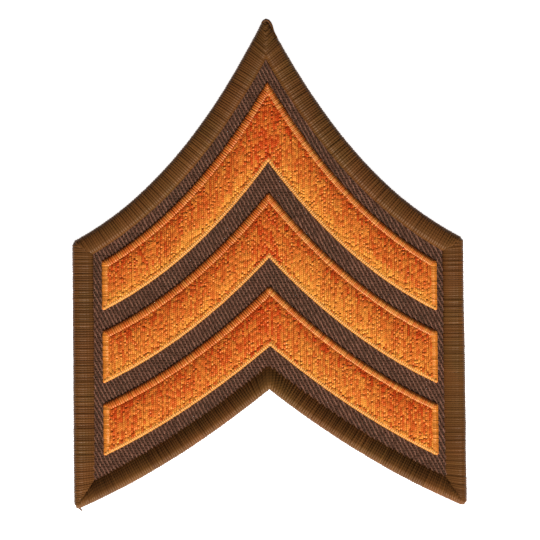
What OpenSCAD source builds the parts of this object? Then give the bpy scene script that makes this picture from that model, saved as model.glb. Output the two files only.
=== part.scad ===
/* [Outline] */
// Width across the two straight sides
patch_w = 76.2; // [60:0.1:100]
// Length from the lower corners to the rounded tip
patch_l = 95.25; // [85:0.05:120]
// Length of each straight side, from lower corner to shoulder
side_l = 52.2; // [40:0.1:60]
// Height of the notch in the lower edge above the lower corners
notch_l = 23.2; // [10:0.1:32]
// How far the two upper edges dip below a straight line
upper_bow = 6.9; // [0:0.1:10]
// How much more of that dip lies near the tip than near the shoulder
upper_lean = 0.13; // [0:0.01:0.3]
// How far the lower edges dip below a straight line
lower_bow = 1.8; // [0:0.1:4]
// How far the rounded tip stops short of a sharp one
tip_blunt = 0.85; // [0.2:0.05:2]

/* [Twill ground] */
// Thickness of the twill with its stiffening
twill_t = 1; // [0.6:0.1:2]

/* [Border edging] */
// Width of the overlocked edging
edging_w = 4; // [3:0.1:6]
// Height of the edging's crown above the twill
edging_rise = 1.1; // [0.6:0.1:2]
// Thickness of the edging thread under the twill
under_t = 0.5; // [0.3:0.05:0.8]
// Distance from the edging's outer side to the twill's cut edge inside it
tuck = 0.9; // [0.6:0.1:1.5]

/* [Chevrons] */
// Twill left bare between the chevron ends and the edging
end_margin = 1.5; // [0.5:0.1:4]
// Width of a chevron's satin-stitched rim
rim_w = 1.25; // [0.8:0.05:2.5]
// Height of the rim above the twill
rim_h = 0.45; // [0.3:0.05:1.5]
// Height of the fill above the twill where it meets the rim
fill_edge_h = 0.3; // [0.15:0.05:1]
// Further rise of the fill from the rim to its crowned middle
fill_crown = 0.4; // [0.1:0.05:1]

/* [Clearance] */
// Gap between two stitched pieces, and between them and the twill
stitch_gap = 0.05; // [0.02:0.01:0.15]

/* [Hidden] */

half_w = patch_w / 2;
sharp_tip = patch_l + tip_blunt;
twill_top = under_t + twill_t;
stitch_base = twill_top + stitch_gap;
chevron_half = half_w - edging_w - end_margin;

// Steps along each of the four long edges of an outline
edge_steps = 16;
// Rows of the fill from its lower to its upper rim
fill_rows = 8;
// Length over which a slope is measured
slope_run = 0.01;

// Where each chevron lies, as shares of the bare twill's height at that place
// [lower edge on the midline, lower edge at the ends, upper edge on the midline, upper edge at the ends]
LOW_MID = 0;
LOW_END = 1;
HIGH_MID = 2;
HIGH_END = 3;
upper_share = [0.661, 0.7185, 0.931, 0.940];
middle_share = [0.3455, 0.3955, 0.565, 0.629];
lower_share = [0.055, 0.0725, 0.255, 0.306];

// The edging's outer arch, from its outer side over the crown to its inner side
// [inset as a share of the edging's width, height as a share of its rise above the twill]
edging_arch_share = [
    [0.00, -0.35], [0.03, 0.22], [0.09, 0.58], [0.19, 0.86], [0.34, 1.00],
    [0.50, 0.94], [0.66, 0.77], [0.82, 0.50], [0.94, 0.24], [1.00, 0.04]
];
// The rim's arch, from its outer foot to its inner one
// [inset as a share of the rim's width, height as a share of the rim's height]
rim_arch_share = [
    [0.00, 0.00], [0.05, 0.24], [0.18, 0.54], [0.38, 0.85],
    [0.60, 1.00], [0.84, 0.92], [0.97, 0.64], [1.00, 0.00]
];
// Inset of the edging's flat underside from its outer and inner sides, as shares of its width
foot_share = [0.16, 0.95];

edging_color = [0.42, 0.27, 0.15];
twill_color = [0.35, 0.24, 0.19];
fill_color = [0.80, 0.40, 0.12];
rim_color = [0.88, 0.53, 0.22];

// Between a and b at share t
function between(a, b, t) = a + (b - a) * t;

// Length of a slanted edge for each unit across, at x on the right half
function stretch(edge, x) = norm([1, (edge(x + slope_run) - edge(x)) / slope_run]);

// Heights of the patch's own two edges at a distance x from the midline
upper_edge = function(x)
    let (u = x / half_w)
    between(sharp_tip, side_l, u) - 4 * upper_bow * u * (1 - u) * (1 - upper_lean * (2 * u - 1));
lower_edge = function(x)
    let (u = x / half_w)
    between(notch_l, 0, u) - 4 * lower_bow * u * (1 - u);

// The bare twill between the edging's inner sides
twill_high = function(x) upper_edge(x) - edging_w * stretch(upper_edge, x);
twill_low = function(x) lower_edge(x) + edging_w * stretch(lower_edge, x);

// One edge of a chevron, from its shares on the midline and at the ends
function chevron_edge(mid, end) = function(x)
    between(twill_low(x), twill_high(x), between(mid, end, x / chevron_half));

// Points of an arrow outline at an inset from its edges, anticlockwise from the lower middle
function arrow(low, high, half, inset, tip_limit) =
    let (
        xs = [for (i = [0 : edge_steps]) (half - inset) * i / edge_steps],
        right_low = [for (x = xs) [x, low(x) + inset * stretch(low, x)]],
        right_high = [for (x = xs) [x, min(high(x) - inset * stretch(high, x), tip_limit - inset)]],
        right = concat(right_low, [for (i = [edge_steps : -1 : 0]) right_high[i]]),
        last = len(right) - 1
    )
    concat(right, [for (i = [last - 1 : -1 : 1]) [-right[i].x, right[i].y]]);

function patch_outline(inset) = arrow(lower_edge, upper_edge, half_w, inset, patch_l);

function chevron_outline(share, inset) =
    let (
        low = chevron_edge(share[LOW_MID], share[LOW_END]),
        high = chevron_edge(share[HIGH_MID], share[HIGH_END])
    )
    arrow(low, high, chevron_half, inset, high(0));

// A closed ring whose section runs through rings of points, first to last and back to the first
module ring_solid(rings) {
    n = len(rings[0]);
    m = len(rings);
    points = [for (ring = rings) each ring];
    faces = [
        for (j = [0 : m - 1], i = [0 : n - 1])
            [j * n + i, j * n + (i + 1) % n, (j + 1) % m * n + (i + 1) % n, (j + 1) % m * n + i]
    ];
    triangles = [for (f = faces) each [[f[0], f[1], f[2]], [f[0], f[2], f[3]]]];
    polyhedron(points, triangles);
}

function at_height(outline, z) = [for (p = outline) [p.x, p.y, z]];

module centred() {
    translate([0, -patch_l / 2, 0]) children();
}

module twill_ground() {
    color(twill_color)
        centred()
            translate([0, 0, under_t])
                linear_extrude(twill_t)
                    polygon(patch_outline(tuck));
}

module border_edging() {
    rise = edging_rise - stitch_gap;
    slot_back = tuck - stitch_gap;
    over = [for (p = edging_arch_share) [p[0] * edging_w, stitch_base + p[1] * rise]];
    slot = [
        [slot_back, stitch_base],
        [slot_back, under_t - stitch_gap],
        [edging_w, under_t - stitch_gap]
    ];
    foot = [[foot_share[1] * edging_w, 0], [foot_share[0] * edging_w, 0]];
    section = concat(over, slot, foot);
    color(edging_color)
        centred()
            ring_solid([for (p = section) at_height(patch_outline(p[0]), p[1])]);
}

module chevron_rim(share) {
    section = [for (p = rim_arch_share) [p[0] * rim_w, stitch_base + p[1] * rim_h]];
    color(rim_color)
        centred()
            ring_solid([for (p = section) at_height(chevron_outline(share, p[0]), p[1])]);
}

// A fill between two edges, crowned across its width and towards its ends
module chevron_fill(share) {
    inset = rim_w + stitch_gap;
    outline = chevron_outline(share, inset);
    half_count = edge_steps + 1;
    columns = 2 * edge_steps;
    total = len(outline);
    low = [for (i = [-edge_steps : edge_steps]) outline[(i + total) % total]];
    high = [for (i = [-edge_steps : edge_steps]) outline[(2 * half_count - 1 - i + total) % total]];
    top = [
        for (i = [0 : columns], j = [0 : fill_rows])
            let (
                across = 1 - pow(abs(2 * j / fill_rows - 1), 3),
                along = 1 - pow(2 * i / columns - 1, 12),
                p = between(low[i], high[i], j / fill_rows)
            )
            [p.x, p.y, stitch_base + fill_edge_h + fill_crown * across * along]
    ];
    rows = fill_rows + 1;
    base = [for (p = top) [p.x, p.y, stitch_base]];
    count = len(top);
    cells = [for (i = [0 : columns - 1], j = [0 : fill_rows - 1]) i * rows + j];
    top_faces = [for (c = cells) each [[c, c + 1, c + rows + 1], [c, c + rows + 1, c + rows]]];
    rim_loop = concat(
        [for (i = [0 : columns]) i * rows],
        [for (j = [1 : fill_rows]) columns * rows + j],
        [for (i = [columns - 1 : -1 : 0]) i * rows + fill_rows],
        [for (j = [fill_rows - 1 : -1 : 1]) j]
    );
    around = len(rim_loop);
    walls = [
        for (k = [0 : around - 1])
            let (a = rim_loop[k], b = rim_loop[(k + 1) % around])
            each [[a, b, b + count], [a, b + count, a + count]]
    ];
    base_faces = [for (f = top_faces) [f[0] + count, f[2] + count, f[1] + count]];
    color(fill_color)
        centred()
            polyhedron(concat(top, base), concat(top_faces, walls, base_faces));
}

twill_ground();
border_edging();
chevron_fill(upper_share);  // upper_chevron
chevron_rim(upper_share);  // upper_chevron_edging
chevron_fill(middle_share);  // middle_chevron
chevron_rim(middle_share);  // middle_chevron_edging
chevron_fill(lower_share);  // lower_chevron
chevron_rim(lower_share);  // lower_chevron_edging
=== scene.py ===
# An embroidered rank chevron patch, lying on its back: brown twill ground, overlocked edging, three
# raised chevrons in orange thread. Sizes are the drawing's, in millimetres on its plan; metres() places
# them. Only the satin rims are wider than drawn, as they are on the photographed patch.
import math

import bpy
import numpy as np
from mathutils import Matrix


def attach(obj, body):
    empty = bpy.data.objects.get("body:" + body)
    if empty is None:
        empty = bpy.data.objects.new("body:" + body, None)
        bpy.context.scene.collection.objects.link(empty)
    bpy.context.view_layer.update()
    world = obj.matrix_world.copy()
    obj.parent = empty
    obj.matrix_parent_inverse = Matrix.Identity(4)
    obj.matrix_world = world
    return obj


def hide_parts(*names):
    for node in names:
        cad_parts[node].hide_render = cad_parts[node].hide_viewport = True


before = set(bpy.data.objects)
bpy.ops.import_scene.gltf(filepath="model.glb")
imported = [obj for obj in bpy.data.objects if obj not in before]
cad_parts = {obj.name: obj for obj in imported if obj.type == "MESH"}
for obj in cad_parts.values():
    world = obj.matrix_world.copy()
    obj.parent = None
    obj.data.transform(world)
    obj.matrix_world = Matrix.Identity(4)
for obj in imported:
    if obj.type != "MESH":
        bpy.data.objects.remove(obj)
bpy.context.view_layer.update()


# GROUND TWILL
# The ground that everything is stitched to: a stiffened brown twill, cut to the arrow outline with its
# raw edge inside the edging. The cloth is a slab; the yarns that float over it make steep ribs. Only
# the yarns that show between the edging and the chevrons are laid.

# The outline: the patch over all, its straight sides, the notch below, how far the upper and the lower
# edges sag below a straight line, how much deeper the upper ones do so near the tip, and what the tip has
# lost of its point
patch_w = 76.2
patch_l = 95.25
side_l = 52.2
notch_l = 23.2
upper_bow = 6.9
upper_lean = 0.13
lower_bow = 1.8
tip_blunt = 0.85
half_w = patch_w / 2
sharp_tip = patch_l + tip_blunt
# An edge's slope is measured over this run
slope_run = 0.01

# Heights of the cloth's underside and top, the edging's width, how far it reaches past the cloth's cut edge,
# and the bare twill between it and the chevrons' ends
under_t = 0.5
twill_top = 1.5
edging_w = 4.0
tuck = 0.9
end_margin = 1.5
chevron_half = half_w - edging_w - end_margin
# The chevrons are stitched this far to the right of the outline's middle, and sink this much for each
# millimetre towards the right
chevron_shift = 0.25
chevron_slant = 0.0105
# The cloth lies this far below its top, where the floats are, and is meshed in so many cells across and up
cloth_sink = 0.04
cloth_cells = (64, 40)

# The twill's lattice: how far apart its warps and wefts lie, over how many wefts a float repeats, and how far
# floats wander across and along; then a float's width, length and height, its lean, how deep it sits, and
# how dark and light it may be
warp_gap = 0.262
weft_gap = 0.5
repeat = 3
warps, wefts = np.arange(-150, 151), np.arange(-160, 260)
float_wander = (0.02, 0.05)
float_size = (0.30, 1.12, 0.20)
float_lean = 0.16
float_sink = 0.02
float_tones = (0.3, 0.8)
# How far floats still lie under the edging, at its straight sides and elsewhere, and under the rims, at their
# ends and elsewhere
under_edging = (0.35, 0.9)
under_rims = (0.3, 0.5)

# Where each chevron lies, as shares of the bare twill's height at that place:
# lower edge on the midline and at the ends, upper edge on the midline and at the ends
chevrons = {
    "upper": (0.661, 0.7185, 0.931, 0.940),
    "middle": (0.3455, 0.3955, 0.565, 0.629),
    "lower": (0.055, 0.0725, 0.255, 0.306),
}


def between(a, b, t):
    """The value at share t of the way from a to b."""
    return a + (b - a) * t


def stretch(edge, x):
    """Length of a slanted edge for each unit across."""
    x = np.abs(x)
    return np.hypot(1, (edge(x + slope_run) - edge(x)) / slope_run)


def upper_edge(x):
    """The patch's upper edge on the plan, above a place across."""
    u = np.abs(x) / half_w
    return between(sharp_tip, side_l, u) - 4 * upper_bow * u * (1 - u) * (1 - upper_lean * (2 * u - 1))


def lower_edge(x):
    """The patch's lower edge on the plan, above a place across."""
    u = np.abs(x) / half_w
    return between(notch_l, 0, u) - 4 * lower_bow * u * (1 - u)


def twill_high(x):
    """Where the bare twill meets the upper edging."""
    return upper_edge(x) - edging_w * stretch(upper_edge, x)


def twill_low(x):
    """Where the bare twill meets the lower edging."""
    return lower_edge(x) + edging_w * stretch(lower_edge, x)


def chevron_edge(mid, end):
    """A chevron's edge, from its shares of the bare twill's height on the midline and at the ends."""
    def edge(x):
        share = between(mid, end, np.abs(x) / chevron_half)
        return between(twill_low(x), twill_high(x), share)
    return edge


def moved_in(edge, inset):
    """The line at an inset from an edge, upwards where the inset is positive."""
    return lambda x: edge(x) + inset * stretch(edge, x)


def metres(plan, z):
    """Points in the model's frame from places on the drawing and heights, both in millimetres."""
    plan = np.asarray(plan, float)
    z = np.broadcast_to(z, plan.shape[:-1])
    return np.stack([plan[..., 0], plan[..., 1] - patch_l / 2, z], -1) / 1000


def mesh_object(name, points, faces=(), lines=(), marks=None):
    """An object of these points, faces and lines; marks are values kept for each point."""
    mesh = bpy.data.meshes.new(name)
    mesh.from_pydata(np.asarray(points).reshape(-1, 3).tolist(), list(lines), list(faces))
    for mark, values in (marks or {}).items():
        data = mesh.attributes.new(mark, "FLOAT", "POINT").data
        data.foreach_set("value", np.asarray(values, np.float32).ravel())
    mesh.update()
    obj = bpy.data.objects.new(name, mesh)
    bpy.context.scene.collection.objects.link(obj)
    return obj


def crowned_slab(name, low, high, half, columns, rows, top, base, cap=None):
    """A closed slab between two edges; top gives its height at shares across and along."""
    x = np.linspace(-half, half, columns + 1)
    y_low, y_high = low(x), high(x)
    if cap is not None:
        y_high = np.minimum(y_high, cap)
    along, across = np.meshgrid(np.linspace(0, 1, columns + 1), np.linspace(0, 1, rows + 1), indexing="ij")
    plan = np.stack([np.repeat(x[:, None], rows + 1, 1),
                     between(y_low[:, None], y_high[:, None], across)], -1)
    upper = metres(plan, top(across, along)).reshape(-1, 3)
    under = metres(plan, base).reshape(-1, 3)
    n, r = len(upper), rows + 1
    cells = [i * r + j for i in range(columns) for j in range(rows)]
    faces = [(c, c + r, c + r + 1, c + 1) for c in cells]
    faces += [(c + n, c + 1 + n, c + r + 1 + n, c + r + n) for c in cells]
    rim = [i * r for i in range(columns)] + [columns * r + j for j in range(rows)]
    rim += [i * r + rows for i in range(columns, 0, -1)] + [j for j in range(rows, 0, -1)]
    faces += [(b, a, a + n, b + n) for a, b in zip(rim, rim[1:] + rim[:1])]
    return mesh_object(name, np.concatenate([upper, under]), faces)


def put(tree, kind, sockets=None, **settings):
    """Adds a node to a tree. A socket takes a plain value or another node's output."""
    node = tree.nodes.new(kind)
    for name, value in settings.items():
        setattr(node, name, value)
    for name, value in (sockets or {}).items():
        if isinstance(value, bpy.types.NodeSocket):
            tree.links.new(value, node.inputs[name])
        else:
            node.inputs[name].default_value = value
    return node


def new_tree(name, kind, inputs, outputs):
    """A node tree with named inputs (kind, starting value) and outputs."""
    tree = bpy.data.node_groups.new(name, kind)
    for label, (socket, value) in inputs.items():
        made = tree.interface.new_socket(label, in_out="INPUT", socket_type=socket)
        if value is not None:
            made.default_value = value
    for label, socket in outputs.items():
        tree.interface.new_socket(label, in_out="OUTPUT", socket_type=socket)
    return tree, tree.nodes.new("NodeGroupInput").outputs, tree.nodes.new("NodeGroupOutput")


def grown(name, source, tree, sizes):
    """Runs a tree on a guide mesh, and keeps what it makes as a plain mesh."""
    modifier = source.modifiers.new("make", "NODES")
    modifier.node_group = tree
    for item in tree.interface.items_tree:
        if item.in_out == "INPUT" and item.name in sizes:
            modifier[item.identifier] = sizes[item.name]
    made = source.evaluated_get(bpy.context.evaluated_depsgraph_get())
    mesh = bpy.data.meshes.new_from_object(made)
    source.modifiers.remove(modifier)
    bpy.data.objects.remove(source)
    mesh.name = name
    obj = bpy.data.objects.new(name, mesh)
    bpy.context.scene.collection.objects.link(obj)
    return obj


def new_material(name, **values):
    """A material whose Principled shader has these plain values, and its tree and shader."""
    material = bpy.data.materials.new(name)
    material.use_nodes = True
    shader = material.node_tree.nodes["Principled BSDF"]
    for socket, value in values.items():
        shader.inputs[socket.replace("_", " ")].default_value = value
    return material, material.node_tree, shader


# Soft blotches and fibre grain, shared by the cloth and the threads: wear, dust and dye that took unevenly.
# The grain shows more in light shades than in dark ones. The shade it is given mixes dark and light dye;
# for the fills and rims that shade is partly painted light and painted sheen.
tree, given, out = new_tree(
    "Uneven dye", "ShaderNodeTree",
    {"Light": ("NodeSocketColor", None), "Dark": ("NodeSocketColor", None),
     "Warm": ("NodeSocketColor", None), "Blotch": ("NodeSocketFloat", 150.0),
     "Grain": ("NodeSocketFloat", 5000.0), "Shade": ("NodeSocketFloat", 0.5)},
    {"Color": "NodeSocketColor", "Grain": "NodeSocketFloat"})
place = put(tree, "ShaderNodeTexCoord").outputs["Object"]
blotch = put(tree, "ShaderNodeTexNoise", {"Vector": place, "Scale": given["Blotch"], "Detail": 3.0})
grain = put(tree, "ShaderNodeTexNoise", {"Vector": place, "Scale": given["Grain"], "Detail": 2.0})
warmth = put(tree, "ShaderNodeMapRange", {"Value": blotch.outputs["Fac"], "From Min": 0.38, "From Max": 0.64})
grained = put(tree, "ShaderNodeMath", {0: grain.outputs["Fac"], 1: given["Shade"], 2: given["Shade"]},
              operation="MULTIPLY_ADD")
shade = put(tree, "ShaderNodeMath", {0: grained.outputs[0], 1: -0.3}, operation="ADD", use_clamp=True)
hue = put(tree, "ShaderNodeMix", {0: warmth.outputs[0], 6: given["Light"], 7: given["Warm"]},
          data_type="RGBA")
dyed = put(tree, "ShaderNodeMix", {0: shade.outputs[0], 6: given["Dark"], 7: hue.outputs[2]},
           data_type="RGBA")
tree.links.new(dyed.outputs[2], out.inputs["Color"])
tree.links.new(grain.outputs["Fac"], out.inputs["Grain"])
dye_and_painted_light = tree


def dye(tree, light, dark, warm, blotch, grain, shade):
    """Places the dye in a material's tree; shade is a plain value or an output that varies."""
    node = tree.nodes.new("ShaderNodeGroup")
    node.node_tree = dye_and_painted_light
    for socket, value in (("Light", light), ("Dark", dark), ("Warm", warm)):
        node.inputs[socket].default_value = (*value, 1)
    node.inputs["Blotch"].default_value = blotch
    node.inputs["Grain"].default_value = grain
    if isinstance(shade, bpy.types.NodeSocket):
        tree.links.new(shade, node.inputs["Shade"])
    else:
        node.inputs["Shade"].default_value = shade
    return node.outputs


# The cloth itself: a close weave in the gaps of the floats and all over the plain back. Its dye is much
# darker than the floats': painted shade in the gaps between them, which the plain back shares.
twill_cloth, tree, shader = new_material("brown twill cloth", Roughness=0.85, Specular_IOR_Level=0.1)
dyed = dye(tree, light=(0.085, 0.038, 0.020), dark=(0.028, 0.012, 0.007), warm=(0.070, 0.037, 0.020),
           blotch=260.0, grain=4200.0, shade=0.55)
place = put(tree, "ShaderNodeTexCoord").outputs["Object"]
turned = put(tree, "ShaderNodeMapping", {"Vector": place, "Rotation": (0, 0, math.radians(-62))})
ribs = put(tree, "ShaderNodeTexWave", {"Vector": turned.outputs[0], "Scale": 430.0, "Distortion": 0.6,
                                       "Detail Scale": 3.0}, bands_direction="Y")
cross = put(tree, "ShaderNodeTexWave", {"Vector": place, "Scale": 610.0, "Distortion": 0.4},
            bands_direction="Y")
weave = put(tree, "ShaderNodeMath", {0: ribs.outputs["Fac"], 1: cross.outputs["Fac"]}, operation="MULTIPLY")
raised = put(tree, "ShaderNodeMath", {0: dyed["Grain"], 1: weave.outputs[0]}, operation="ADD")
bump = put(tree, "ShaderNodeBump", {"Height": raised.outputs[0], "Strength": 0.8, "Distance": 0.00012})
tree.links.new(dyed["Color"], shader.inputs["Base Color"])
tree.links.new(bump.outputs[0], shader.inputs["Normal"])

twill = crowned_slab("twill_cloth", moved_in(lower_edge, tuck), moved_in(upper_edge, -tuck), half_w - tuck,
                     *cloth_cells, lambda across, along: np.full(across.shape, twill_top - cloth_sink),
                     under_t, cap=patch_l - tuck)
twill.data.materials.append(twill_cloth)

# Yarn floats: one lens of yarn for each, on the twill's own lattice
twill_yarn, tree, shader = new_material("brown twill yarn", Roughness=0.7, Specular_IOR_Level=0.1)
tone = put(tree, "ShaderNodeAttribute", attribute_name="shade").outputs["Fac"]
dyed = dye(tree, light=(0.208, 0.090, 0.056), dark=(0.062, 0.022, 0.011), warm=(0.172, 0.077, 0.046),
           blotch=300.0, grain=6000.0, shade=tone)
bump = put(tree, "ShaderNodeBump", {"Height": dyed["Grain"], "Strength": 0.6, "Distance": 0.00005})
tree.links.new(dyed["Color"], shader.inputs["Base Color"])
tree.links.new(bump.outputs[0], shader.inputs["Normal"])

tree, given, out = new_tree(
    "Yarn floats", "GeometryNodeTree",
    {"Geometry": ("NodeSocketGeometry", None), "Size": ("NodeSocketVector", None),
     "Lean": ("NodeSocketFloat", 0.0), "Material": ("NodeSocketMaterial", None)},
    {"Geometry": "NodeSocketGeometry"})
ball = put(tree, "GeometryNodeMeshUVSphere", {"Segments": 6, "Rings": 4, "Radius": 0.5})
lens = put(tree, "GeometryNodeTransform", {"Geometry": ball.outputs["Mesh"], "Scale": given["Size"]})
loose = put(tree, "FunctionNodeRandomValue",
            {"Min": (-0.08, -0.08, -0.12), "Max": (0.08, 0.08, 0.12), "Seed": 3}, data_type="FLOAT_VECTOR")
lean = put(tree, "ShaderNodeCombineXYZ", {"Z": given["Lean"]})
turn = put(tree, "ShaderNodeVectorMath", {0: loose.outputs["Value"], 1: lean.outputs[0]}, operation="ADD")
fuller = put(tree, "FunctionNodeRandomValue",
             {"Min": (0.85, 0.85, 0.75), "Max": (1.15, 1.1, 1.25), "Seed": 4}, data_type="FLOAT_VECTOR")
laid = put(tree, "GeometryNodeInstanceOnPoints",
           {"Points": given["Geometry"], "Instance": lens.outputs[0], "Rotation": turn.outputs[0],
            "Scale": fuller.outputs["Value"]})
real = put(tree, "GeometryNodeRealizeInstances", {"Geometry": laid.outputs[0]})
smooth = put(tree, "GeometryNodeSetShadeSmooth", {"Geometry": real.outputs[0]})
done = put(tree, "GeometryNodeSetMaterial", {"Geometry": smooth.outputs[0], "Material": given["Material"]})
tree.links.new(done.outputs[0], out.inputs[0])
yarn_floats = tree

dice = np.random.default_rng(11)
i, j = np.meshgrid(warps, wefts, indexing="ij")
x = i.ravel() * warp_gap
y = j.ravel() * repeat * weft_gap - i.ravel() * weft_gap
x = x + dice.normal(0, float_wander[0], x.size)
y = y + dice.normal(0, float_wander[1], y.size)
shows = (y > twill_low(x) - under_edging[1]) & (y < twill_high(x) + under_edging[1])
shows &= np.abs(x) < half_w - edging_w + under_edging[0]
for low_mid, low_end, high_mid, high_end in chevrons.values():
    low, high = chevron_edge(low_mid, low_end), chevron_edge(high_mid, high_end)
    across, up = x - chevron_shift, y + chevron_slant * x
    covered = (up > low(across) + under_rims[1]) & (up < high(across) - under_rims[1])
    shows &= ~(covered & (np.abs(across) < chevron_half - under_rims[0]))
x, y = x[shows], y[shows]
lattice = mesh_object("yarn_lattice", metres(np.stack([x, y], -1), twill_top - float_sink),
                      marks={"shade": dice.uniform(*float_tones, x.size)})
yarns = grown("twill_yarns", lattice, yarn_floats,
              {"Size": [s / 1000 for s in float_size], "Lean": float_lean, "Material": twill_yarn})

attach(twill, "root")
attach(yarns, "root")
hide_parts("twill_ground")


# BORDER EDGING
# An overlocked edging of thick brown thread that wraps the twill's raw edge: up over a high crown,
# down the outer side and back underneath. Each stitch crosses the edge squarely and fans at corners;
# below the stitches lies the bed of the threads packed under them.

# All that is stitched keeps this far off the twill
stitch_gap = 0.05
stitch_base = twill_top + stitch_gap
# For the sides in turn, anticlockwise from the right lower edge: how far apart the stitches lie and the
# radius of their thread. A thick thread at a close pitch lies smooth; a thin one stands apart.
edging_pitch = (0.47, 0.40, 0.47, 0.47, 0.47, 0.47)
edging_thread = (0.46, 0.62, 0.48, 0.44, 0.60, 0.46)
# A thread's middle lies this share of its radius below the surface that the stitches make
thread_sink = 0.93
# The section's surface, from the inner foot over the crown, down the outer side and back underneath, as
# inset from the outer side and height. It rolls outwards along the lower edges, and lies flatter along the
# upper ones; the straight sides go from one to the other.
rolled_section = [
    (4.1, 1.3), (3.85, 1.48), (3.45, 1.68), (3.0, 1.93), (2.6, 2.14), (2.1, 2.36), (1.5, 2.55), (0.95, 2.62),
    (0.45, 2.46), (0.05, 2.05), (-0.13, 1.5), (-0.1, 0.8), (0.1, 0.32), (0.6, 0.1), (2.0, 0.1), (3.6, 0.12)]
flat_section = [
    (4.05, 1.5), (3.9, 1.93), (3.55, 2.17), (3.1, 2.3), (2.6, 2.38), (2.1, 2.4), (1.6, 2.37), (1.05, 2.28),
    (0.55, 2.1), (0.2, 1.8), (-0.03, 1.35), (-0.05, 0.75), (0.1, 0.3), (0.6, 0.1), (2.0, 0.1), (3.6, 0.12)]
corners_in_turn = ("notch", "lower", "shoulder", "tip", "shoulder", "lower")
corner_round = {"notch": 0.0, "lower": 0.8, "shoulder": 0.3, "tip": 0.8}
# Stitches wander by this share of their pitch. At a corner they fan: how much they lean into the mitre, how
# raggedly they end there, how deep the rest of a stitch dives and how much more at each point of its way,
# the shortest share of a stitch that is still made, and how many widths from the corner a mitre can cut
pitch_wander = 0.05
mitre_lean = 0.3
mitre_ragged = 0.06
mitre_dive = 0.07
mitre_step = 0.05
shortest = 0.2
mitre_reach = 3
# What counts as nothing in a division
nothing = 1e-9
# Along the edging the shade, its unevenness and the thickness of the stitches drift, each over a run of so
# many stitches. Then how much single stitches differ in thickness, and how far they swing off their way.
shade_drift, shade_run = (0.46, 0.66), 14
uneven_drift, uneven_run = (0.02, 0.10), 18
thick_drift, thick_run = (-0.06, 0.08), 12
thick_uneven = 0.03
edging_slack = 0.025
# A stitch swings to the side in a wave of this angle, started anywhere in twice that, and its height differs
# by this share of its slack
swing_angle = 3
height_slack = 0.8
# Along the upper edges the stitches thin out and part towards the outer side: shares of the width from there
# and the thickness at each
parting = ((0.1, 0.45, 0.65, 0.9), (0.82, 0.88, 1.02, 1.1))
# The bed's surface as inset and height, from its outer foot over the crown and round the twill's cut edge
bed_section = [(0.26, 1.2), (0.36, 1.55), (0.62, 1.86), (1.0, 2.05), (1.6, 2.1), (2.2, 1.98), (2.7, 1.76),
               (3.1, 1.58), (3.4, stitch_base), (0.8, stitch_base), (0.8, under_t - stitch_gap),
               (3.8, under_t - stitch_gap), (3.7, 0.18), (0.7, 0.18)]
bed_steps = 48


def arrow_sides(low, high, half, steps=240):
    """The six sides of an arrow outline, anticlockwise from the lower middle."""
    x = np.linspace(0, half, steps)
    right_low, right_high = np.stack([x, low(x)], -1), np.stack([x, high(x)], -1)
    side_y = np.linspace(low(half), high(half), steps)
    right_side = np.stack([np.full(steps, half), side_y], -1)
    right = [right_low, right_side, right_high[::-1]]
    return right + [side[::-1] * (-1, 1) for side in right[::-1]]


def along_side(side, s):
    """Places at lengths s along a side, and its inward directions there, past its ends too."""
    step = np.hypot(*np.diff(side, axis=0).T)
    run = np.concatenate([[0], np.cumsum(step)])
    inside = np.clip(s, 0, run[-1])
    place = np.stack([np.interp(inside, run, side[:, k]) for k in (0, 1)], -1)
    middle = (run[1:] + run[:-1]) / 2
    tangent = np.diff(side, axis=0) / step[:, None]
    way = np.stack([np.interp(inside, middle, tangent[:, k]) for k in (0, 1)], -1)
    way /= np.hypot(way[:, 0], way[:, 1])[:, None]
    place += way * (s - inside)[:, None]
    return place, np.stack([-way[:, 1], way[:, 0]], -1)


def fan(s, advance):
    """How far along the foot of a stitch lies, where the corner's inner point is an advance away."""
    b = abs(advance)
    if b < nothing:
        return s
    if advance > 0:
        return np.where(s < 2 * b, between(s, advance + s * s / (4 * b), mitre_lean), s)
    return np.where(s < 2 * b, -b + 2 * s - s * s / (4 * b), s)


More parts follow.
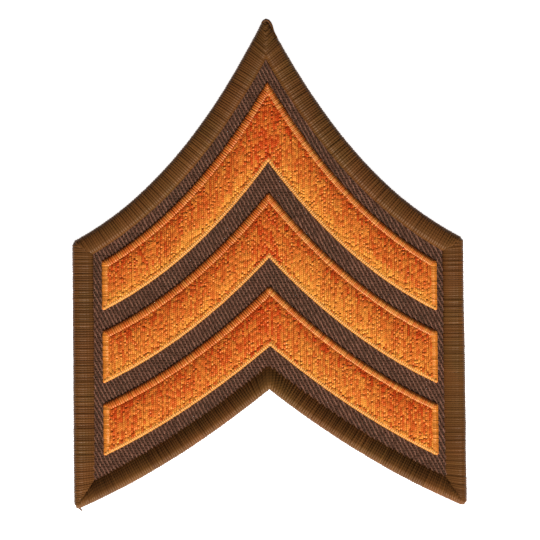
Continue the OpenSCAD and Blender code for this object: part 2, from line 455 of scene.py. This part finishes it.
def cross_stitches(sides, depth, pitch, rounds, dice):
    """Outer and inner ends of the stitches across a band inside a closed outline, how much of each is
    left where two sides meet in a mitre, and its side."""
    count = len(sides)
    ways, lengths = [], []
    for side in sides:
        step = np.diff(side, axis=0)
        ways.append((step[0] / np.hypot(*step[0]), step[-1] / np.hypot(*step[-1])))
        lengths.append(np.hypot(*step.T).sum())
    corners = []
    for k in range(count):
        before, after = ways[k - 1][1], ways[k][0]
        turn = math.atan2(before[0] * after[1] - before[1] * after[0], before @ after)
        half_angle = (math.pi - turn) / 2
        inward = after - before
        inward = inward / np.hypot(*inward) * (1 if turn > 0 else -1)
        corners.append((sides[k][0], half_angle, inward, depth / math.tan(half_angle)))
    outers, inners, cuts, numbers = [], [], [], []
    for k, side in enumerate(sides):
        length = lengths[k]
        n = max(3, round(length / pitch[k]))
        s = (np.arange(n) + 0.5) / n * length + dice.normal(0, pitch_wander * pitch[k], n)
        here, there = corners[k], corners[(k + 1) % count]
        foot = np.where(s < length / 2, fan(s, here[3]), length - fan(length - s, there[3]))
        outer, _ = along_side(side, s)
        base, normal = along_side(side, foot)
        inner = base + normal * depth
        # A stitch ends where it meets the mitre
        cut = np.ones(n)
        for corner, half_angle, inward, _ in (here, there):
            if half_angle > math.pi / 2:
                continue
            square = np.array([-inward[1], inward[0]])
            apart = (outer - corner) @ square
            closes = apart - (inner - corner) @ square
            left = apart / np.where(np.abs(closes) < nothing, nothing, closes)
            near = np.hypot(*(outer - corner).T) < mitre_reach * depth / math.tan(half_angle)
            met = (left > 0) & (left < 1) & near
            cut = np.where(met, np.minimum(cut, left + dice.uniform(0.0, mitre_ragged, n)), cut)
        # Near a rounded corner its outer end comes in to the round
        for (corner, half_angle, inward, _), radius in ((here, rounds[k]), (there, rounds[(k + 1) % count])):
            if radius == 0 or half_angle > math.pi / 2:
                continue
            centre = corner + inward * radius / math.sin(half_angle)
            near = np.hypot(*(outer - corner).T) < radius / math.tan(half_angle)
            ray = outer - inner
            ray /= np.hypot(ray[:, 0], ray[:, 1])[:, None]
            to = centre - inner
            middle = (to * ray).sum(1)
            gap = (to * to).sum(1) - middle ** 2
            reach = middle + np.sqrt(np.maximum(radius ** 2 - gap, 0))
            outer = np.where(near[:, None], inner + ray * reach[:, None], outer)
        kept = cut > shortest
        outers.append(outer[kept])
        inners.append(inner[kept])
        cuts.append(cut[kept])
        numbers.append(np.full(kept.sum(), k))
    return [np.concatenate(part) for part in (outers, inners, cuts, numbers)]


def sunk(section, depth, width):
    """The way of a thread's middle under a surface section, with its inset as a share of the width."""
    section = np.asarray(section, float)
    step = np.gradient(section, axis=0)
    step /= np.hypot(step[:, 0], step[:, 1])[:, None]
    return (section + depth * np.stack([-step[:, 1], step[:, 0]], -1)) / (width, 1)


def stitches_over(outer, inner, cut, wraps, dice, slack):
    """Places and heights of stitches that follow their wraps: share of the band's width, height. Where a
    mitre cuts a stitch short, the rest of it dives into the band."""
    n, m = wraps.shape[:2]
    turn = wraps[0, :, 0].argmin()
    share = np.minimum(wraps[..., 0], cut[:, None])
    at_cut = np.array([np.interp(c, w[turn::-1, 0], w[turn::-1, 1]) for c, w in zip(cut, wraps)])
    beyond = (wraps[..., 0] > cut[:, None]) & (np.arange(m) < turn)
    past = np.cumsum(beyond[:, ::-1], axis=1)[:, ::-1]
    dive = at_cut[:, None] - mitre_dive - mitre_step * past
    high = np.where(beyond, np.minimum(wraps[..., 1], dive), wraps[..., 1])
    across = (inner - outer)[:, None, :]
    width = np.hypot(across[..., 0], across[..., 1])[..., None]
    plan = outer[:, None, :] + across * share[..., None]
    aside = np.stack([-across[..., 1], across[..., 0]], -1) / width
    swing = np.sin(np.linspace(0, swing_angle, m)[None, :] + dice.uniform(0, 2 * swing_angle, (n, 1)))
    plan = plan + aside * (dice.normal(0, slack, (n, 1)) * swing)[..., None]
    return plan, high + dice.normal(0, slack * height_slack, (n, 1))


def drift(count, every, dice):
    """Values from 0 to 1 that wander slowly from stitch to stitch."""
    posts = dice.uniform(0, 1, count // every + 3)
    at = np.arange(count) / every
    step = at - at.astype(int)
    return between(posts[at.astype(int)], posts[at.astype(int) + 1], step * step * (3 - 2 * step))


def guide_object(name, lines, shades, thick):
    """A mesh of open guide lines, with each point's shade and thickness."""
    edges, start = [], 0
    for line in lines:
        edges += [(start + k, start + k + 1) for k in range(len(line) - 1)]
        start += len(line)
    return mesh_object(name, np.concatenate(lines), lines=edges,
                       marks={"shade": np.concatenate(shades), "thick": np.concatenate(thick)})


def closed_ring(name, section, outline):
    """A closed ring; section holds (inset, height) points and outline gives the places at an inset."""
    rings = np.array([metres(outline(inset), z) for inset, z in section])
    m, n = rings.shape[:2]
    faces = [(j * n + i, (j + 1) % m * n + i, (j + 1) % m * n + (i + 1) % n, j * n + (i + 1) % n)
             for j in range(m) for i in range(n)]
    return mesh_object(name, rings, faces)


def arrow_outline(low, high, half, steps, cap):
    """Gives the places of an arrow outline at an inset."""
    def outline(inset):
        x = np.linspace(0, half - inset, steps + 1)
        right_low = np.stack([x, low(x) + inset * stretch(low, x)], -1)
        right_high = np.stack([x, np.minimum(high(x) - inset * stretch(high, x), cap - inset)], -1)
        right = np.concatenate([right_low, right_high[::-1]])
        return np.concatenate([right, right[-2:0:-1] * (-1, 1)])
    return outline


# Lays a round thread along each guide line, and marks it for the twist of its plies
tree, given, out = new_tree(
    "Lay thread", "GeometryNodeTree",
    {"Geometry": ("NodeSocketGeometry", None), "Radius": ("NodeSocketFloat", 0.0002),
     "Sides": ("NodeSocketInt", 6), "Material": ("NodeSocketMaterial", None)},
    {"Geometry": "NodeSocketGeometry"})
path = put(tree, "GeometryNodeMeshToCurve", {"Mesh": given["Geometry"]})
run = put(tree, "GeometryNodeStoreNamedAttribute",
          {"Geometry": path.outputs[0], "Name": "run",
           "Value": put(tree, "GeometryNodeSplineParameter").outputs["Length"]})
ring = put(tree, "GeometryNodeCurvePrimitiveCircle",
           {"Resolution": given["Sides"], "Radius": given["Radius"]})
angle = put(tree, "ShaderNodeMath", {0: put(tree, "GeometryNodeSplineParameter").outputs["Factor"],
                                     1: 2 * math.pi}, operation="MULTIPLY")
profile = ring.outputs[0]
for mark, kind in (("ply_x", "COSINE"), ("ply_y", "SINE")):
    value = put(tree, "ShaderNodeMath", {0: angle.outputs[0]}, operation=kind)
    profile = put(tree, "GeometryNodeStoreNamedAttribute",
                  {"Geometry": profile, "Name": mark, "Value": value.outputs[0]}).outputs[0]
thick = put(tree, "GeometryNodeInputNamedAttribute", {"Name": "thick"}, data_type="FLOAT")
tube = put(tree, "GeometryNodeCurveToMesh", {"Curve": run.outputs[0], "Profile Curve": profile,
                                             "Scale": thick.outputs[0], "Fill Caps": True})
smooth = put(tree, "GeometryNodeSetShadeSmooth", {"Geometry": tube.outputs[0]})
real = put(tree, "GeometryNodeRealizeInstances", {"Geometry": smooth.outputs[0]})
done = put(tree, "GeometryNodeSetMaterial", {"Geometry": real.outputs[0], "Material": given["Material"]})
tree.links.new(done.outputs[0], out.inputs[0])
lay_thread = tree

# The twist of a two-ply thread: a wave that runs round and along it
tree, given, out = new_tree(
    "Ply twist", "ShaderNodeTree",
    {"Length": ("NodeSocketFloat", 0.0012)}, {"Height": "NodeSocketFloat"})
marks = {mark: put(tree, "ShaderNodeAttribute", attribute_name=mark).outputs["Fac"]
         for mark in ("run", "ply_x", "ply_y")}
turns = put(tree, "ShaderNodeMath", {0: marks["run"], 1: given["Length"]}, operation="DIVIDE")
phase = put(tree, "ShaderNodeMath", {0: turns.outputs[0], 1: 2 * math.pi}, operation="MULTIPLY").outputs[0]
parts = []
for mark, kind in (("ply_x", "COSINE"), ("ply_y", "SINE")):
    wave = put(tree, "ShaderNodeMath", {0: phase}, operation=kind).outputs[0]
    parts.append(put(tree, "ShaderNodeMath", {0: marks[mark], 1: wave}, operation="MULTIPLY").outputs[0])
facing = put(tree, "ShaderNodeMath", {0: parts[0], 1: parts[1]}, operation="ADD").outputs[0]
height = put(tree, "ShaderNodeMath", {0: facing, 1: facing}, operation="MULTIPLY").outputs[0]
tree.links.new(height, out.inputs[0])
ply_twist = tree


def thread_material(name, light, dark, warm, blotch, ply, relief, **values):
    """Embroidery thread: each stitch has its own shade, twisted plies and fine fibres."""
    material, tree, shader = new_material(name, **values)
    tone = put(tree, "ShaderNodeAttribute", attribute_name="shade").outputs["Fac"]
    dyed = dye(tree, light, dark, warm, blotch, grain=9000.0, shade=tone)
    twist = tree.nodes.new("ShaderNodeGroup")
    twist.node_tree = ply_twist
    twist.inputs["Length"].default_value = ply
    height = put(tree, "ShaderNodeMath", {0: dyed["Grain"], 1: 0.5, 2: twist.outputs[0]},
                 operation="MULTIPLY_ADD")
    bump = put(tree, "ShaderNodeBump", {"Height": height.outputs[0], "Strength": 0.7, "Distance": relief})
    tree.links.new(dyed["Color"], shader.inputs["Base Color"])
    tree.links.new(bump.outputs[0], shader.inputs["Normal"])
    return material


edging_brown = thread_material(
    "brown edging thread", light=(0.148, 0.053, 0.013), dark=(0.068, 0.023, 0.006),
    warm=(0.114, 0.051, 0.012), blotch=140.0, ply=0.0011, relief=0.00003,
    Roughness=0.45, Specular_IOR_Level=0.12, Specular_Tint=(1.0, 0.82, 0.62, 1))

dice = np.random.default_rng(5)
rounds = [corner_round[corner] for corner in corners_in_turn]
outer, inner, cut, side = cross_stitches(arrow_sides(lower_edge, upper_edge, half_w), edging_w,
                                         edging_pitch, rounds, dice)
rise = (outer[:, 1] - lower_edge(outer[:, 0])) / (upper_edge(outer[:, 0]) - lower_edge(outer[:, 0]))
rise = np.clip(rise, 0, 1)
rolled, flat = [np.array([sunk(section, thread_sink * thread, edging_w) for thread in edging_thread])
                for section in (rolled_section, flat_section)]
wraps = between(rolled[side], flat[side], rise[:, None, None])
plan, high = stitches_over(outer, inner, cut, wraps, dice, slack=edging_slack)
lines = list(metres(plan, high))
n, m = high.shape
tones = between(*shade_drift, drift(n, shade_run, dice))
tones = tones + dice.normal(0, 1, n) * between(*uneven_drift, drift(n, uneven_run, dice))
tones = list(np.repeat(tones[:, None], m, 1))
swell = between(1.0, np.interp(flat[0, :, 0], *parting)[None, :], rise[:, None])
widths = dice.normal(1, thick_uneven, n) + between(*thick_drift, drift(n, thick_run, dice))
widths = list((widths * np.array(edging_thread)[side])[:, None] * swell)
edging = grown("border_edging_stitches", guide_object("edging_guides", lines, tones, widths), lay_thread,
               {"Radius": 0.001, "Sides": 8, "Material": edging_brown})

edging_bed = closed_ring("border_edging_bed", bed_section[::-1],
                         arrow_outline(lower_edge, upper_edge, half_w, bed_steps, patch_l))
edging_bed.data.materials.append(edging_brown)

for piece in (edging, edging_bed):
    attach(piece, "root")
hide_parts("border_edging")


# CHEVRON FILLS
# Each chevron is filled with upright rows of short stitches in orange rayon thread. Every stitch dips
# at its needle holes, so that the fill glints in short streaks; it is crowned between its rims, and
# packed under-stitching lies below it.

# Heights above the stitches' base: at the rims, and how much more in the middle. The fill stays low over
# these shares of the rows at their foot and head.
fill_edge_h = 0.3
fill_crown = 0.28
under_rim = (0.09, 0.03)
# The rows start over the inner side of the lower rim, each a little lower or higher than the next, and end
# over the inner foot of the upper one, a little sooner on the left arm. Over these runs their feet lie
# higher, some more than others, and their heads sink in.
foot_tuck = 0.76
foot_ragged = 0.3
fill_tuck = 1.2
left_short = 0.36
foot_lift = (0.04, 0.2)
foot_run = 1.6
head_sink = 0.1
head_run = 0.9
# The rows: how far apart they lie and wander, their thread's radius and how much it varies, how far the
# thread's middle and the bed lie below the fill's surface
row_gap = 0.40
row_wander = 0.02
fill_thread = 0.245
fill_uneven = 0.08
row_sink = 0.18
fill_bed_drop = 0.24
fill_bed_cells = (64, 12)
# The stitches of a row: their length, the shares of it that the first one and the others may have, and the
# least that is left for the last; the depth of the needle holes and its shares; how high a stitch rises
# between them, how far its middle stands above that, and the shares of its length where its points lie
stitch_length = 1.2
first_stitch = (0.3, 1)
next_stitch = (0.35, 1.7)
least_stitch = 0.5
needle_dip = 0.1
dip_shares = (0.3, 1.2)
stitch_rise = (0.01, 0.02)
stitch_bow = 0.02
stitch_points = (0, 0.16, 0.5, 0.84)
# Shades of the stitches at shares of a row's length, and how far single stitches differ from them. The
# shades are painted light: light and yellow at a row's foot, which faces the lamp, and dark and red at its
# head, which faces away.
tone_shares = (0.0, 0.14, 0.285, 0.43, 0.57, 0.72, 0.86, 1.0)
row_light_and_shade = {"upper": (0.8, 0.86, 0.52, 0.43, 0.44, 0.46, 0.36, 0.33),
             "middle": (0.7, 0.71, 0.57, 0.48, 0.49, 0.46, 0.36, 0.36),
             "lower": (0.62, 0.6, 0.49, 0.43, 0.45, 0.43, 0.32, 0.34)}
tone_spread = ((0.0, 0.25), (0.4, 0.2))
# Places across where the stitches are lighter, and how much: a painted sheen on the right arm, on all but
# those that end in a row's last millimetre, and painted light on the left arm, on only those. All turn to the
# tip's red over a run from the midline.
right_arm_painted_sheen = ((-4, 4, 16, 26), (0, 0.1, 0.1, 0))
left_heads_painted_light = ((-26, -20, -9, -6), (0, 0.06, 0.06, 0))
last_stitch = 1.0
tip_tone = 0.28
tip_run = 3.3

# The dye is red in its dark shades and yellow in its light ones, which carries the rows' painted light
fill_orange = thread_material(
    "orange fill thread", light=(0.69, 0.243, 0.033), dark=(0.475, 0.049, 0.006),
    warm=(0.69, 0.262, 0.036), blotch=140.0, ply=0.0008, relief=0.000045,
    Roughness=0.38, Specular_IOR_Level=0.45, Specular_Tint=(1.0, 0.72, 0.32, 1))


def fill_height(across, along):
    """Height of the fill's surface at shares of a row's length and of the chevron's width."""
    seen = np.clip((across - under_rim[0]) / (1 - sum(under_rim)), 0, 1)
    return (stitch_base + fill_edge_h
            + fill_crown * (1 - np.abs(2 * seen - 1) ** 3) * (1 - (2 * along - 1) ** 12))


# Sets a finished piece aside and aslant, as the chevrons are stitched
askew = Matrix.Translation((chevron_shift / 1000, 0, 0)) @ Matrix(
    ((1, 0, 0, 0), (-chevron_slant, 1, 0, 0), (0, 0, 1, 0), (0, 0, 0, 1)))
for name, (low_mid, low_end, high_mid, high_end) in chevrons.items():
    dice = np.random.default_rng(len(name) * 7)
    low = moved_in(chevron_edge(low_mid, low_end), foot_tuck)
    high = moved_in(chevron_edge(high_mid, high_end), -fill_tuck)
    half = chevron_half - fill_tuck
    rows = np.linspace(-half, half, round(2 * half / row_gap))
    lines, tones, widths = [], [], []
    for x in np.clip(rows + dice.normal(0, row_wander, rows.size), -half, half):
        foot = low(x) - dice.uniform(0, foot_ragged)
        length = high(x) - foot - left_short * (x < 0)
        lighter, head_lighter = np.interp(x, *right_arm_painted_sheen), np.interp(x, *left_heads_painted_light)
        holes = [0.0]
        reach = dice.uniform(*first_stitch) * stitch_length
        while reach < length - least_stitch:
            holes.append(reach)
            reach += stitch_length * dice.uniform(*next_stitch)
        holes.append(length)
        s, dip, tone = [], [], []
        for h0, h1 in zip(holes, holes[1:]):
            s += [between(h0, h1, point) for point in stitch_points]
            up = dice.normal(*stitch_rise)
            dip += [-needle_dip * dice.uniform(*dip_shares), up, up + stitch_bow, up]
            share = between(h0, h1, 0.5) / length
            # The row's painted light: light and yellow at its foot, dark and red at its head
            shade = np.interp(share, tone_shares, row_light_and_shade[name])
            shade = between(shade, tip_tone, math.exp(-(x / tip_run) ** 2))
            shade += dice.uniform(-1, 1) * np.interp(share, *tone_spread)
            # Painted sheen on the right arm, painted light at the heads of the left arm
            shade += lighter if h1 < length - last_stitch else head_lighter
            tone += [shade] * len(stitch_points)
        s, dip, tone = np.array(s + [length]), np.array(dip + [-needle_dip]), np.array(tone + tone[-1:])
        plan = np.stack([x + dice.normal(0, row_wander, len(s)), foot + s], -1)
        z = fill_height(s / length, (x / half + 1) / 2) - row_sink + dip
        z += dice.uniform(*foot_lift) * np.clip(1 - s / foot_run, 0, 1)
        z -= head_sink * np.clip(1 - (length - s) / head_run, 0, 1)
        lines.append(metres(plan, z))
        tones.append(tone)
        widths.append(np.full(len(s), dice.normal(1, fill_uneven)))
    fill = grown(f"{name}_chevron_fill", guide_object("fill_guides", lines, tones, widths), lay_thread,
                 {"Radius": fill_thread / 1000, "Sides": 5, "Material": fill_orange})
    bed = crowned_slab(f"{name}_chevron_fill_bed", low, high, half, *fill_bed_cells,
                       lambda across, along: fill_height(across, along) - fill_bed_drop, stitch_base)
    bed.data.materials.append(fill_orange)
    for piece in (fill, bed):
        piece.data.transform(askew)
        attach(piece, "root")
    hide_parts(f"{name}_chevron")


# CHEVRON RIMS
# A raised rim of satin stitches closes the edge of each fill. Every stitch crosses the rim squarely,
# over a padding run of the same thread, and fans round the corners.

rim_w = 1.6
# For the sides in turn, as on the edging: pitch, thread radius, how much single stitches differ from it, and
# how dark and light they may be, which is painted light: light on the lower rims, which face the lamp, and
# dark on the upper ones. The satin lies closest at the ends, where its shades are past light, into a painted
# sheen.
rim_pitch = (0.4, 0.25, 0.33, 0.45, 0.25, 0.4)
rim_thread = (0.3, 0.34, 0.34, 0.3, 0.34, 0.3)
rim_uneven = np.array((0.05, 0.012, 0.04, 0.07, 0.012, 0.05))
rim_light_and_shade = np.array(((0.8, 1.0), (1.55, 1.75), (0.15, 0.7), (0.05, 0.5), (1.55, 1.75), (0.8, 1.0)))
# Stitches swing by this share of their unevenness
rim_slack = 0.3
# The rim's surface as inset and height, from its inner foot to its outer one. Along the lower edges the
# crest lies close to the edge and the rim is narrowest; elsewhere the crest is nearer the middle. The upper
# rim of the left arm is the widest, all of rim_w.
steep_rim = [(1.34, 1.6), (1.22, 1.67), (1.07, 1.76), (0.92, 1.85), (0.74, 1.94), (0.53, 2.0), (0.3, 1.95),
             (0.1, 1.82), (0.0, 1.55)]
round_rim = [(1.46, 1.64), (1.4, 1.78), (1.24, 1.88), (1.02, 1.94), (0.8, 1.96), (0.55, 1.93), (0.3, 1.85),
             (0.1, 1.7), (0.0, 1.55)]
right_high_rim = [(1.46, 1.62), (1.38, 1.76), (1.2, 1.86), (0.95, 1.94), (0.7, 1.97), (0.48, 1.94),
                  (0.28, 1.86), (0.1, 1.7), (0.0, 1.55)]
left_high_rim = [(1.6, 1.66), (1.54, 1.78), (1.38, 1.87), (1.12, 1.94), (0.84, 1.96), (0.55, 1.94),
                 (0.3, 1.86), (0.1, 1.7), (0.0, 1.55)]
rim_sections = (steep_rim, round_rim, right_high_rim, left_high_rim, round_rim, steep_rim)
rim_round = {"notch": 0.0, "lower": 0.3, "shoulder": 0.5, "tip": 0.45}
# The bed under the satin, from its outer foot to its inner one
rim_bed_section = [(0.14, stitch_base), (0.28, 1.64), (0.45, 1.74), (0.62, 1.74), (0.8, 1.67), (1.02, 1.6),
                   (1.2, stitch_base)]

rim_orange = thread_material(
    "light orange rim thread", light=(0.51, 0.197, 0.035), dark=(0.43, 0.085, 0.009),
    warm=(0.53, 0.215, 0.040), blotch=140.0, ply=0.0009, relief=0.00003,
    Roughness=0.42, Specular_IOR_Level=0.5, Specular_Tint=(1.0, 0.8, 0.5, 1))
# Shades above 1 turn brighter and redder: a painted sheen on the close satin of the ends
painted_satin_sheen = (0.615, 0.152, 0.008, 1)
tree = rim_orange.node_tree
base = tree.nodes["Principled BSDF"].inputs["Base Color"]
tone = put(tree, "ShaderNodeAttribute", attribute_name="shade").outputs["Fac"]
past_light = put(tree, "ShaderNodeMath", {0: tone, 1: 1.0}, operation="SUBTRACT", use_clamp=True)
satin = put(tree, "ShaderNodeMix", {0: past_light.outputs[0], 6: base.links[0].from_socket,
                                    7: painted_satin_sheen}, data_type="RGBA")
tree.links.new(satin.outputs[2], base)

for name, (low_mid, low_end, high_mid, high_end) in chevrons.items():
    dice = np.random.default_rng(len(name) * 13)
    low, high = chevron_edge(low_mid, low_end), chevron_edge(high_mid, high_end)
    rounds = [rim_round[corner] for corner in corners_in_turn]
    outer, inner, cut, side = cross_stitches(arrow_sides(low, high, chevron_half), rim_w, rim_pitch, rounds,
                                             dice)
    wraps = np.array([sunk(section, thread_sink * thread, rim_w)
                      for section, thread in zip(rim_sections, rim_thread)])
    uneven = rim_uneven[side]
    plan, heights = stitches_over(outer, inner, cut, wraps[side], dice, slack=rim_slack * uneven[:, None])
    lines = list(metres(plan, heights))
    # Each stitch's shade follows its side: painted light on the rims, painted sheen at the ends
    tones = [np.full(len(line), t) for line, t in zip(lines, dice.uniform(*rim_light_and_shade[side].T))]
    thick = dice.normal(1, uneven) * np.array(rim_thread)[side]
    widths = [np.full(len(line), t) for line, t in zip(lines, thick)]
    rim = grown(f"{name}_chevron_rim", guide_object("rim_guides", lines, tones, widths), lay_thread,
                {"Radius": 0.001, "Sides": 6, "Material": rim_orange})
    bed = closed_ring(f"{name}_chevron_rim_bed", rim_bed_section[::-1],
                      arrow_outline(low, high, chevron_half, bed_steps, high(0.0)))
    bed.data.materials.append(rim_orange)
    for piece in (rim, bed):
        piece.data.transform(askew)
        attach(piece, "root")
    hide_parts(f"{name}_chevron_edging")


# LOOSE THREAD ENDS
# Two ends of the edging thread that were not trimmed: one lies along the right side of the tip, the
# other hooks out of the lower left corner.

# Their radius, how thin they end, their shade, and each one's way: places on the plan and heights
end_thread = 0.32
end_taper = 0.5
end_tone = 0.3
loose_ends = [
    [(-0.55, 94.35, 1.5), (-0.25, 94.78, 1.75), (0.12, 94.98, 1.85), (0.55, 94.85, 1.85), (0.92, 94.45, 1.75),
     (1.18, 93.95, 1.65), (1.35, 93.4, 1.6), (1.52, 92.8, 1.6), (1.8, 92.2, 1.7), (2.2, 91.5, 1.9)],
    [(-37.7, 2.0, 1.7), (-37.68, 1.4, 1.5), (-37.55, 0.9, 1.2), (-37.3, 0.45, 0.9), (-37.0, 0.15, 0.6),
     (-36.7, -0.15, 0.35)],
]
lines = [metres(np.array(end)[:, :2], np.array(end)[:, 2]) for end in loose_ends]
ends = grown("loose_thread_ends",
             guide_object("end_guides", lines, [np.full(len(line), end_tone) for line in lines],
                          [np.linspace(1, end_taper, len(line)) for line in lines]),
             lay_thread, {"Radius": end_thread / 1000, "Sides": 6, "Material": edging_brown})
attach(ends, "root")


# FLOOR, LIGHT AND CAMERA
# A plain white sheet under the patch, one soft key light low from the foot of the patch, and a camera
# straight above it, turned as the photograph is.
floor_white, tree, shader = new_material("white floor", Roughness=0.9, Specular_IOR_Level=0.0)
shader.inputs["Base Color"].default_value = (0.9, 0.9, 0.9, 1)
shader.inputs["Emission Color"].default_value = (1, 1, 1, 1)
shader.inputs["Emission Strength"].default_value = 0.9
floor_half, floor_z = 3, -0.0001
corners = [(-1, -1), (1, -1), (1, 1), (-1, 1)]
floor = mesh_object("floor", [(a * floor_half, b * floor_half, floor_z) for a, b in corners],
                    [(0, 1, 2, 3)])
floor.data.materials.append(floor_white)

scene = bpy.context.scene
scene.view_settings.view_transform = "Standard"
world = bpy.data.worlds.new("studio")
world.use_nodes = True
world.node_tree.nodes["Background"].inputs["Color"].default_value = (1, 1, 1, 1)
world.node_tree.nodes["Background"].inputs["Strength"].default_value = 0.17
scene.world = world

light_height = math.radians(31)
light_away, light_aside = 1.6, 0.06
key = bpy.data.lights.new("key", "AREA")
key.shape = "DISK"
key.size = 0.44
key.energy = 56
key_light = bpy.data.objects.new("key", key)
key_light.location = (light_aside, -light_away * math.cos(light_height), light_away * math.sin(light_height))
key_light.rotation_euler = (math.pi / 2 - light_height, 0, 0)
scene.collection.objects.link(key_light)

camera = bpy.data.cameras.new("camera")
# The camera stands this far above the stitches' crowns, sees this much across, and aims a little off the
# patch's middle
camera_high, crowns = 0.9, 0.002
view_across = 0.105
aim_x, aim_y = 0.00039, -0.00129
camera.sensor_width = 36
camera.lens = camera.sensor_width * camera_high / view_across
camera_object = bpy.data.objects.new("camera", camera)
camera_object.location = (aim_x, aim_y, camera_high + crowns)
camera_object.rotation_euler = (0, 0, math.radians(-0.6))
scene.collection.objects.link(camera_object)
scene.camera = camera_object
